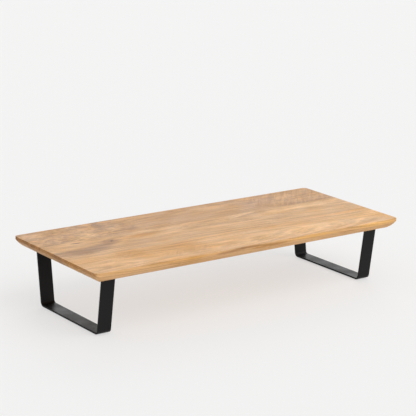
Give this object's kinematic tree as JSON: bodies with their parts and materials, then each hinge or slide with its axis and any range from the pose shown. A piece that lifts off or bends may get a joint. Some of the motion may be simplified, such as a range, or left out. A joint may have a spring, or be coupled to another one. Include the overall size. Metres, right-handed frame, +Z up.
{
  "type": "monitor riser stand",
  "caption": "Desk riser for a monitor: a solid-wood board with an under-bevelled edge on bent flat-bar steel legs, leaving room for a keyboard beneath.",
  "frame": {"origin": "on the surface the pads stand on, under the centre of the board", "axes": "+X along the board's length to the right, +Y to the rear, +Z up"},
  "size_m": [0.62, 0.26, 0.117],
  "materials": {
    "wood_front": "satin oiled, straight grain along X",
    "wood_middle": "satin oiled, with small knots, grain along X",
    "wood_rear": "satin oiled, swirling grain along X",
    "black_steel": "matte fine-textured black powder coat",
    "black_hardware": "satin black oxide",
    "insert_brass": "plain turned",
    "pad_rubber": "matte"
  },
  "bodies": {
    "root": {"board_stave_front": "wood_front", "board_stave_middle": "wood_middle", "board_stave_rear": "wood_rear", "leg_strap_left": "black_steel", "leg_plate_left": "black_steel", "leg_welds_left": "black_steel", "washers_left": "black_hardware", "leg_screws_left": "black_hardware", "threaded_inserts_left": "insert_brass", "foot_pad_left_front": "pad_rubber", "foot_pad_left_rear": "pad_rubber", "leg_strap_right": "black_steel", "leg_plate_right": "black_steel", "leg_welds_right": "black_steel", "washers_right": "black_hardware", "leg_screws_right": "black_hardware", "threaded_inserts_right": "insert_brass", "foot_pad_right_front": "pad_rubber", "foot_pad_right_rear": "pad_rubber"}
  },
  "joints": []
}
